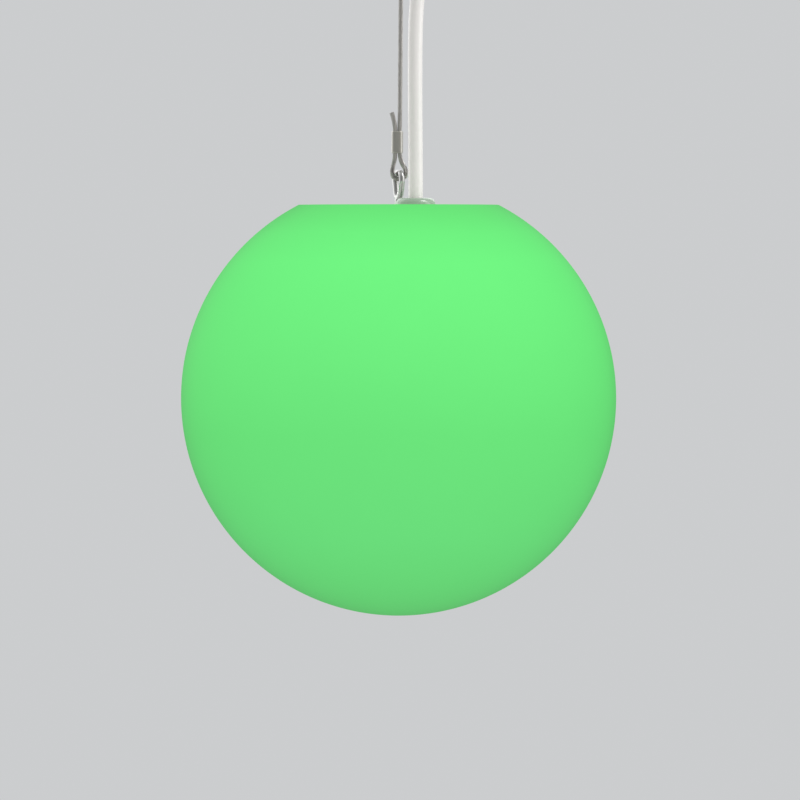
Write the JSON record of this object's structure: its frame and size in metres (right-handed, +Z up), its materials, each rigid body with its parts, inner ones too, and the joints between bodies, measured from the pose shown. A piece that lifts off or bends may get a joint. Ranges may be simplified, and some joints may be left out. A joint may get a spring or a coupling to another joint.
{
  "type": "hanging globe light",
  "caption": "Green-lit opal globe that hangs from a wire rope looped through an eye bolt, with a white power cable beside it and a round canopy on the ceiling.",
  "frame": {"origin": "centre of the canopy's ceiling face, straight above the lamp", "axes": "+Z up into the ceiling, -Y to the front where the cable and its gland stand, +X to the right of the rope as seen from the front"},
  "size_m": [0.2499, 0.25, 0.439],
  "materials": {
    "globe_opal": "satin opal, lit from inside",
    "lid_white": "white powder coat",
    "canopy_white": "white powder coat",
    "ceiling_steel": "galvanised",
    "polished_steel": "polished stainless",
    "rope_steel": "stranded stainless",
    "ferrule_aluminium": "crimped, dull",
    "screw_steel": "stainless",
    "insert_brass": "knurled",
    "standoff_brass": "nickel plated",
    "seal_rubber": "matte",
    "gland_white": "glossy nylon",
    "cable_white": "glossy sheath",
    "block_clear": "natural nylon",
    "wire_skin": "coloured insulation",
    "column_aluminium": "anodised",
    "board_white": "white solder mask",
    "driver_board_green": "solder mask",
    "driver_black": "fine texture",
    "chip_lens": "lens over a chip"
  },
  "bodies": {
    "ceiling": {"canopy": "canopy_white", "canopy_gasket": "seal_rubber", "canopy_gland_body": "gland_white", "canopy_gland_cap": "gland_white", "canopy_gland_locknut": "gland_white", "canopy_gland_seal": "seal_rubber", "canopy_gland_washer": "seal_rubber", "canopy_screws": "screw_steel", "canopy_terminal_block": "block_clear", "canopy_terminal_screws": "screw_steel", "canopy_wires": "wire_skin", "ceiling_eye": "polished_steel", "ceiling_eye_nut": "screw_steel", "ceiling_plate": "ceiling_steel"},
    "hook": {"s_hook": "polished_steel"},
    "suspension": {"wire_rope": "rope_steel", "lower_ferrule": "ferrule_aluminium", "upper_ferrule": "ferrule_aluminium", "power_cable": "cable_white"},
    "lamp": {"carrier_plate": "ceiling_steel", "carrier_screws": "screw_steel", "column_screws": "screw_steel", "driver_board": "driver_board_green", "driver_case": "driver_black", "driver_cover": "driver_black", "driver_screws": "screw_steel", "driver_wires": "wire_skin", "end_board": "board_white", "end_leds": "chip_lens", "end_plate": "column_aluminium", "end_screws": "screw_steel", "eye_bolt": "polished_steel", "eye_lock_nut": "screw_steel", "eye_washer": "screw_steel", "gland_body": "gland_white", "gland_cap": "gland_white", "gland_locknut": "gland_white", "gland_seal": "seal_rubber", "gland_washer": "seal_rubber", "globe_shell": "globe_opal", "lamp_terminal_block": "block_clear", "lamp_terminal_screws": "screw_steel", "lamp_wires": "wire_skin", "led_column": "column_aluminium", "led_strip_1": "board_white", "led_strip_2": "board_white", "led_strip_3": "board_white", "led_strip_4": "board_white", "led_strip_5": "board_white", "led_strip_6": "board_white", "led_wires": "wire_skin", "lid": "lid_white", "lid_gasket": "seal_rubber", "lid_screws": "screw_steel", "standoff_screws": "screw_steel", "standoffs": "standoff_brass", "strip_leds": "chip_lens", "threaded_inserts": "insert_brass"}
  },
  "joints": [
    {"name": "front_back_swing", "type": "hinge", "parent": "ceiling", "child": "hook", "pos_m": [0, 0, -0.0275], "axis": [1, 0, 0], "range_deg": [-12, 12], "deforming": ["power_cable"]},
    {"name": "side_swing", "type": "hinge", "parent": "hook", "child": "suspension", "pos_m": [0, 0, -0.045], "axis": [0, 1, 0], "range_deg": [-12, 12]},
    {"name": "globe_tilt", "type": "hinge", "parent": "suspension", "child": "lamp", "pos_m": [0, 0, -0.1848], "axis": [-0.3746, 0.9272, 0], "range_deg": [-12, 12]}
  ]
}
